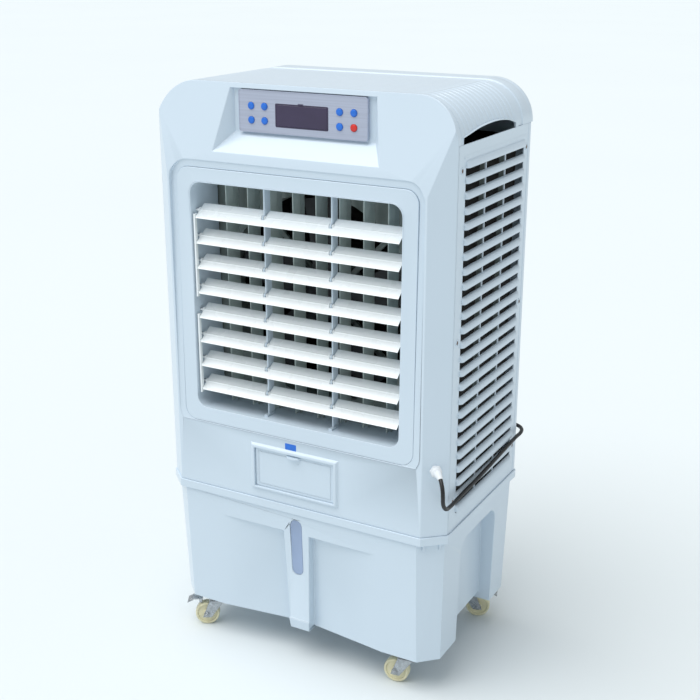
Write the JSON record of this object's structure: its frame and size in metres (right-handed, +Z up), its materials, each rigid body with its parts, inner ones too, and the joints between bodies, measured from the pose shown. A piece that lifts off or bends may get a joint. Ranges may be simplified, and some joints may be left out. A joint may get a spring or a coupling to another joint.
{
  "type": "evaporative cooler",
  "caption": "Upright evaporative cooler on casters: water tank below, louvred air outlet in front, slatted intakes round the sides, leaning control panel on top.",
  "frame": {"origin": "middle of the housing's footprint on the floor, cord not counted", "axes": "+Z up, -Y towards the front with the air outlet, +X to the right seen from the front"},
  "size_m": [0.6227, 0.5101, 1.115],
  "materials": {
    "body_plastic": "smooth pale blue-white moulded plastic",
    "moving_plastic": "smooth white plastic",
    "inner_plastic": "shaded grey inner moulding",
    "cooling_pad": "dark corrugated cellulose pad",
    "dark_plastic": "dark moulded plastic",
    "motor_paint": "dark painted motor can",
    "panel_silver": "satin silver plate",
    "screen": "dark purple smoked window",
    "button_blue": "blue moulded cap",
    "button_red": "red moulded cap",
    "sight_plastic": "frosted translucent strip",
    "zinc": "zinc plated pressed steel",
    "wheel_nylon": "cream nylon",
    "cord_rubber": "black cable sheath",
    "gland_plastic": "white nylon gland"
  },
  "bodies": {
    "cabinet": {"water_tank": "body_plastic", "sight_glass": "sight_plastic", "base_tray": "body_plastic", "front_panel": "body_plastic", "outlet_bezel": "body_plastic", "top_cover": "body_plastic", "left_grille": "body_plastic", "right_grille": "body_plastic", "rear_grille": "body_plastic", "left_pad": "cooling_pad", "right_pad": "cooling_pad", "rear_pad": "cooling_pad", "control_plate": "panel_silver", "display_window": "screen", "fan_bulkhead": "inner_plastic", "fan_motor": "motor_paint", "water_pump": "dark_plastic", "cord_gland": "gland_plastic", "power_cord": "cord_rubber", "cord_coil": "cord_rubber", "plug": "cord_rubber"},
    "louvre_1": {"louvre_1": "moving_plastic"},
    "louvre_2": {"louvre_2": "moving_plastic"},
    "louvre_3": {"louvre_3": "moving_plastic"},
    "louvre_4": {"louvre_4": "moving_plastic"},
    "louvre_5": {"louvre_5": "moving_plastic"},
    "louvre_6": {"louvre_6": "moving_plastic"},
    "louvre_7": {"louvre_7": "moving_plastic"},
    "louvre_8": {"louvre_8": "moving_plastic"},
    "louvre_link_upper": {"louvre_link_upper": "moving_plastic"},
    "louvre_link_lower": {"louvre_link_lower": "moving_plastic"},
    "vane_1": {"vane_1": "moving_plastic"},
    "vane_2": {"vane_2": "moving_plastic"},
    "vane_3": {"vane_3": "moving_plastic"},
    "vane_4": {"vane_4": "moving_plastic"},
    "vane_5": {"vane_5": "moving_plastic"},
    "vane_6": {"vane_6": "moving_plastic"},
    "vane_7": {"vane_7": "moving_plastic"},
    "vane_8": {"vane_8": "moving_plastic"},
    "vane_link": {"vane_link": "moving_plastic"},
    "impeller": {"fan_impeller": "dark_plastic"},
    "button_1": {"button_1": "button_blue"},
    "button_2": {"button_2": "button_blue"},
    "button_3": {"button_3": "button_blue"},
    "button_4": {"button_4": "button_blue"},
    "button_5": {"button_5": "button_blue"},
    "button_6": {"button_6": "button_blue"},
    "button_7": {"button_7": "button_blue"},
    "button_8": {"button_8": "button_red"},
    "fill_door": {"fill_door": "body_plastic"},
    "fork_front_left": {"fork_front_left": "zinc"},
    "wheel_front_left": {"wheel_front_left": "wheel_nylon"},
    "brake_front_left": {"brake_front_left": "zinc"},
    "fork_front_right": {"fork_front_right": "zinc"},
    "wheel_front_right": {"wheel_front_right": "wheel_nylon"},
    "fork_rear_left": {"fork_rear_left": "zinc"},
    "wheel_rear_left": {"wheel_rear_left": "wheel_nylon"},
    "fork_rear_right": {"fork_rear_right": "zinc"},
    "wheel_rear_right": {"wheel_rear_right": "wheel_nylon"},
    "brake_rear_right": {"brake_rear_right": "zinc"}
  },
  "joints": [
    {"name": "louvre_1_tilt", "type": "hinge", "parent": "cabinet", "child": "louvre_1", "pos_m": [0, -0.1699, 0.8835], "axis": [1, 0, 0], "range_deg": [-50, 30]},
    {"name": "louvre_2_tilt", "type": "hinge", "parent": "cabinet", "child": "louvre_2", "pos_m": [0, -0.1699, 0.8357], "axis": [1, 0, 0], "range_deg": [-50, 30]},
    {"name": "louvre_3_tilt", "type": "hinge", "parent": "cabinet", "child": "louvre_3", "pos_m": [0, -0.1699, 0.7879], "axis": [1, 0, 0], "range_deg": [-50, 30]},
    {"name": "louvre_4_tilt", "type": "hinge", "parent": "cabinet", "child": "louvre_4", "pos_m": [0, -0.1699, 0.7401], "axis": [1, 0, 0], "range_deg": [-50, 30]},
    {"name": "louvre_5_tilt", "type": "hinge", "parent": "cabinet", "child": "louvre_5", "pos_m": [0, -0.1699, 0.6923], "axis": [1, 0, 0], "range_deg": [-50, 30]},
    {"name": "louvre_6_tilt", "type": "hinge", "parent": "cabinet", "child": "louvre_6", "pos_m": [0, -0.1699, 0.6445], "axis": [1, 0, 0], "range_deg": [-50, 30]},
    {"name": "louvre_7_tilt", "type": "hinge", "parent": "cabinet", "child": "louvre_7", "pos_m": [0, -0.1699, 0.5967], "axis": [1, 0, 0], "range_deg": [-50, 30]},
    {"name": "louvre_8_tilt", "type": "hinge", "parent": "cabinet", "child": "louvre_8", "pos_m": [0, -0.1699, 0.5489], "axis": [1, 0, 0], "range_deg": [-50, 30]},
    {"name": "louvre_link_upper_pin", "type": "hinge", "parent": "louvre_1", "child": "louvre_link_upper", "pos_m": [-0.2112, -0.18284, 0.87404], "axis": [1, 0, 0], "range_deg": [-30, 50]},
    {"name": "louvre_link_lower_pin", "type": "hinge", "parent": "louvre_5", "child": "louvre_link_lower", "pos_m": [-0.2112, -0.18284, 0.68284], "axis": [1, 0, 0], "range_deg": [-30, 50]},
    {"name": "vane_1_swing", "type": "hinge", "parent": "cabinet", "child": "vane_1", "pos_m": [-0.16765, -0.1255, 0.7215], "axis": [0, 0, 1], "range_deg": [-35, 35]},
    {"name": "vane_2_swing", "type": "hinge", "parent": "cabinet", "child": "vane_2", "pos_m": [-0.11975, -0.1255, 0.7215], "axis": [0, 0, 1], "range_deg": [-35, 35]},
    {"name": "vane_3_swing", "type": "hinge", "parent": "cabinet", "child": "vane_3", "pos_m": [-0.07185, -0.1255, 0.7215], "axis": [0, 0, 1], "range_deg": [-35, 35]},
    {"name": "vane_4_swing", "type": "hinge", "parent": "cabinet", "child": "vane_4", "pos_m": [-0.02395, -0.1255, 0.7215], "axis": [0, 0, 1], "range_deg": [-35, 35]},
    {"name": "vane_5_swing", "type": "hinge", "parent": "cabinet", "child": "vane_5", "pos_m": [0.02395, -0.1255, 0.7215], "axis": [0, 0, 1], "range_deg": [-35, 35]},
    {"name": "vane_6_swing", "type": "hinge", "parent": "cabinet", "child": "vane_6", "pos_m": [0.07185, -0.1255, 0.7215], "axis": [0, 0, 1], "range_deg": [-35, 35]},
    {"name": "vane_7_swing", "type": "hinge", "parent": "cabinet", "child": "vane_7", "pos_m": [0.11975, -0.1255, 0.7215], "axis": [0, 0, 1], "range_deg": [-35, 35]},
    {"name": "vane_8_swing", "type": "hinge", "parent": "cabinet", "child": "vane_8", "pos_m": [0.16765, -0.1255, 0.7215], "axis": [0, 0, 1], "range_deg": [-35, 35]},
    {"name": "vane_link_pin", "type": "hinge", "parent": "vane_1", "child": "vane_link", "pos_m": [-0.16765, -0.11, 0.7162], "axis": [0, 0, 1], "range_deg": [-35, 35]},
    {"name": "fan_spin", "type": "hinge", "parent": "cabinet", "child": "impeller", "pos_m": [0, -0.0775, 0.7215], "axis": [0, 1, 0], "continuous": true},
    {"name": "button_1_press", "type": "slide", "parent": "cabinet", "child": "button_1", "axis": [0, 1, 0], "range_m": [0, 0.0012], "stiffness_N_per_m": 400},
    {"name": "button_2_press", "type": "slide", "parent": "cabinet", "child": "button_2", "axis": [0, 1, 0], "range_m": [0, 0.0012], "stiffness_N_per_m": 400},
    {"name": "button_3_press", "type": "slide", "parent": "cabinet", "child": "button_3", "axis": [0, 1, 0], "range_m": [0, 0.0012], "stiffness_N_per_m": 400},
    {"name": "button_4_press", "type": "slide", "parent": "cabinet", "child": "button_4", "axis": [0, 1, 0], "range_m": [0, 0.0012], "stiffness_N_per_m": 400},
    {"name": "button_5_press", "type": "slide", "parent": "cabinet", "child": "button_5", "axis": [0, 1, 0], "range_m": [0, 0.0012], "stiffness_N_per_m": 400},
    {"name": "button_6_press", "type": "slide", "parent": "cabinet", "child": "button_6", "axis": [0, 1, 0], "range_m": [0, 0.0012], "stiffness_N_per_m": 400},
    {"name": "button_7_press", "type": "slide", "parent": "cabinet", "child": "button_7", "axis": [0, 1, 0], "range_m": [0, 0.0012], "stiffness_N_per_m": 400},
    {"name": "button_8_press", "type": "slide", "parent": "cabinet", "child": "button_8", "axis": [0, 1, 0], "range_m": [0, 0.0012], "stiffness_N_per_m": 400},
    {"name": "fill_door_hinge", "type": "hinge", "parent": "cabinet", "child": "fill_door", "pos_m": [0, -0.192, 0.3694], "axis": [1, 0, 0], "range_deg": [0, 80]},
    {"name": "swivel_front_left", "type": "hinge", "parent": "cabinet", "child": "fork_front_left", "pos_m": [-0.221, -0.1475, 0.0719], "axis": [0, 0, 1], "continuous": true},
    {"name": "roll_front_left", "type": "hinge", "parent": "fork_front_left", "child": "wheel_front_left", "pos_m": [-0.24024, -0.15817, 0.025], "axis": [0.4848, -0.8746, 0], "continuous": true},
    {"name": "pedal_front_left", "type": "hinge", "parent": "fork_front_left", "child": "brake_front_left", "pos_m": [-0.25161, -0.16447, 0.0591], "axis": [0.4848, -0.8746, 0], "range_deg": [0, 12]},
    {"name": "swivel_front_right", "type": "hinge", "parent": "cabinet", "child": "fork_front_right", "pos_m": [0.221, -0.1475, 0.0719], "axis": [0, 0, 1], "continuous": true},
    {"name": "roll_front_right", "type": "hinge", "parent": "fork_front_right", "child": "wheel_front_right", "pos_m": [0.19912, -0.1498, 0.025], "axis": [0.1045, -0.9945, 0], "continuous": true},
    {"name": "swivel_rear_left", "type": "hinge", "parent": "cabinet", "child": "fork_rear_left", "pos_m": [-0.221, 0.1365, 0.0719], "axis": [0, 0, 1], "continuous": true},
    {"name": "roll_rear_left", "type": "hinge", "parent": "fork_rear_left", "child": "wheel_rear_left", "pos_m": [-0.24005, 0.1475, 0.025], "axis": [-0.5, -0.866, 0], "continuous": true},
    {"name": "swivel_rear_right", "type": "hinge", "parent": "cabinet", "child": "fork_rear_right", "pos_m": [0.221, 0.1365, 0.0719], "axis": [0, 0, 1], "continuous": true},
    {"name": "roll_rear_right", "type": "hinge", "parent": "fork_rear_right", "child": "wheel_rear_right", "pos_m": [0.24167, 0.14402, 0.025], "axis": [-0.342, 0.9397, 0], "continuous": true},
    {"name": "pedal_rear_right", "type": "hinge", "parent": "fork_rear_right", "child": "brake_rear_right", "pos_m": [0.25389, 0.14847, 0.0591], "axis": [-0.342, 0.9397, 0], "range_deg": [0, 12]}
  ],
  "couplings": [
    {"joint": "louvre_2_tilt", "follows": "louvre_1_tilt", "ratio": 1},
    {"joint": "louvre_3_tilt", "follows": "louvre_1_tilt", "ratio": 1},
    {"joint": "louvre_4_tilt", "follows": "louvre_1_tilt", "ratio": 1},
    {"joint": "louvre_6_tilt", "follows": "louvre_5_tilt", "ratio": 1},
    {"joint": "louvre_7_tilt", "follows": "louvre_5_tilt", "ratio": 1},
    {"joint": "louvre_8_tilt", "follows": "louvre_5_tilt", "ratio": 1},
    {"joint": "louvre_link_upper_pin", "follows": "louvre_1_tilt", "ratio": -1},
    {"joint": "louvre_link_lower_pin", "follows": "louvre_5_tilt", "ratio": -1},
    {"joint": "vane_2_swing", "follows": "vane_1_swing", "ratio": 1},
    {"joint": "vane_3_swing", "follows": "vane_1_swing", "ratio": 1},
    {"joint": "vane_4_swing", "follows": "vane_1_swing", "ratio": 1},
    {"joint": "vane_5_swing", "follows": "vane_1_swing", "ratio": 1},
    {"joint": "vane_6_swing", "follows": "vane_1_swing", "ratio": 1},
    {"joint": "vane_7_swing", "follows": "vane_1_swing", "ratio": 1},
    {"joint": "vane_8_swing", "follows": "vane_1_swing", "ratio": 1},
    {"joint": "vane_link_pin", "follows": "vane_1_swing", "ratio": -1}
  ]
}
